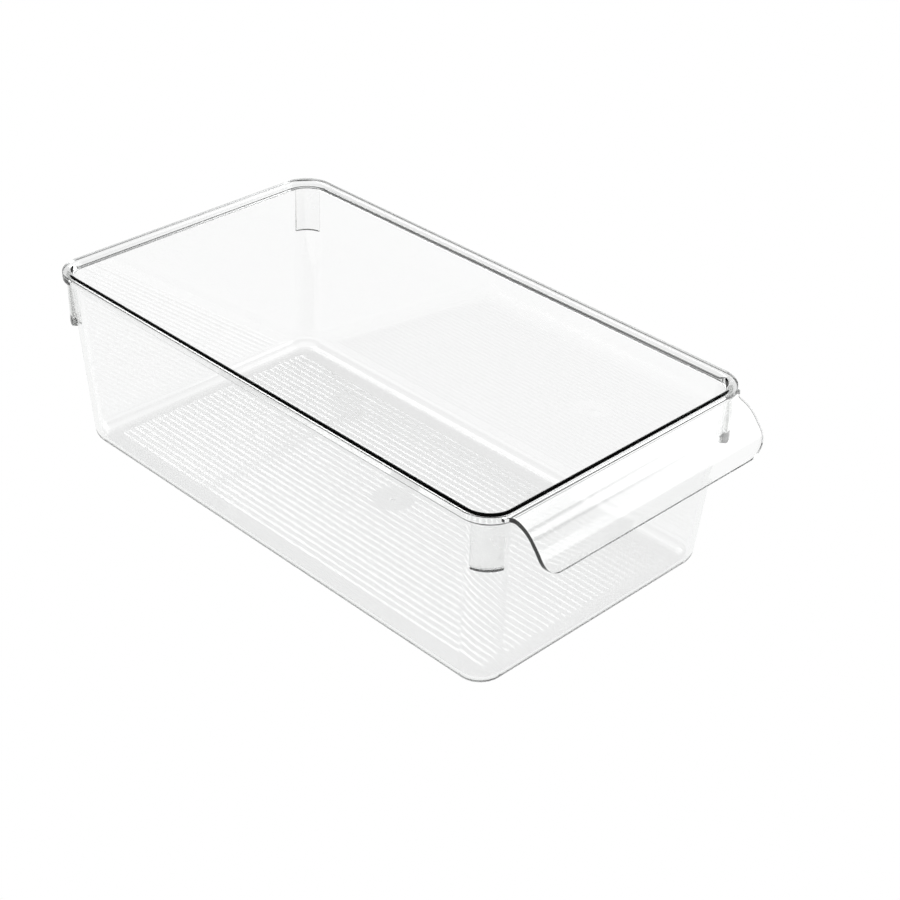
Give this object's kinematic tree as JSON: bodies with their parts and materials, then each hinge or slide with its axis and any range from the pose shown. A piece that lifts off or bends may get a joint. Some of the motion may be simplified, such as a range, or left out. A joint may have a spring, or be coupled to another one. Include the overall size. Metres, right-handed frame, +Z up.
{
  "type": "fridge bin",
  "caption": "Long open clear plastic bin with drafted walls, a rounded rim, a ribbed floor, corner lugs and a curled pull handle at the front.",
  "frame": {"origin": "under the middle of the overall length and width, on the surface the bin stands on", "axes": "+X across the bin to the right as seen from the handle, +Y from the handle to the back, +Z up"},
  "size_m": [0.1524, 0.2922, 0.0889],
  "materials": {
    "clear_plastic": "polished clear moulded plastic",
    "clear_plastic_lug": "polished clear moulded plastic"
  },
  "bodies": {
    "root": {"floor_panel": "clear_plastic", "gate_disc": "clear_plastic", "front_wall": "clear_plastic", "back_wall": "clear_plastic", "left_wall": "clear_plastic", "right_wall": "clear_plastic", "front_left_corner": "clear_plastic", "front_right_corner": "clear_plastic", "back_left_corner": "clear_plastic", "back_right_corner": "clear_plastic", "front_rim": "clear_plastic", "back_rim": "clear_plastic", "left_rim": "clear_plastic", "right_rim": "clear_plastic", "front_left_rim_bend": "clear_plastic", "front_right_rim_bend": "clear_plastic", "back_left_rim_bend": "clear_plastic", "back_right_rim_bend": "clear_plastic", "front_left_lug": "clear_plastic_lug", "front_right_lug": "clear_plastic_lug", "back_left_lug": "clear_plastic_lug", "back_right_lug": "clear_plastic_lug", "pull_handle": "clear_plastic"}
  },
  "joints": []
}
